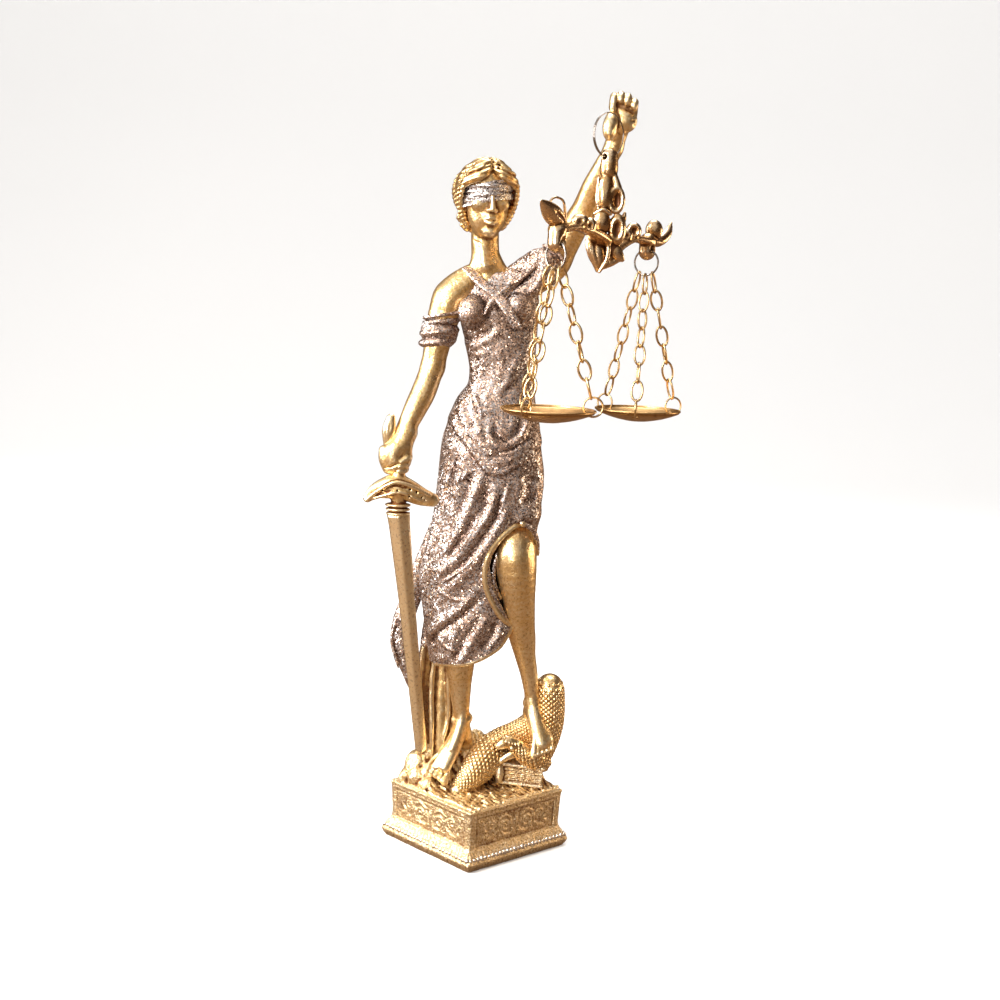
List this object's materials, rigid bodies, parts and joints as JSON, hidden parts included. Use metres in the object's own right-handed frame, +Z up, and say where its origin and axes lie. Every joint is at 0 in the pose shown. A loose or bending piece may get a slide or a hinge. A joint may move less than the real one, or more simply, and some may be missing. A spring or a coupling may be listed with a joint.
{
  "type": "lady justice statue",
  "caption": "Blindfolded standing figure of justice on a square plinth, with a lowered sword, a coiled snake, a book and a raised hand holding a hanging balance.",
  "frame": {"origin": "middle of the plinth's underside", "axes": "+Z up; the figure faces -Y, towards a corner of its plinth; +X is the side of its raised left hand"},
  "size_m": [0.1355, 0.1268, 0.32],
  "materials": {
    "gold_paint": "metallic gold paint over cast resin, satin, darker in the hollows, with glittering silver-brown paint on the gown",
    "gold_metal": "metallic gold paint, satin, brown in the hollows",
    "pan_gold": "satin, lightly toned brown",
    "brass": "bright pale plate",
    "steel_wire": "drawn wire, smooth"
  },
  "bodies": {
    "root": {"statue": "gold_paint", "hand_ring": "steel_wire", "balance_beam": "gold_metal", "beam_ring_left": "steel_wire", "beam_ring_right": "steel_wire", "chain_left_1": "brass", "chain_left_2": "brass", "chain_left_3": "brass", "chain_right_1": "brass", "chain_right_2": "brass", "chain_right_3": "brass", "pan_ring_left_1": "brass", "pan_ring_left_2": "brass", "pan_ring_left_3": "brass", "pan_ring_right_1": "brass", "pan_ring_right_2": "brass", "pan_ring_right_3": "brass", "pan_left": "pan_gold", "pan_right": "pan_gold"}
  },
  "joints": []
}
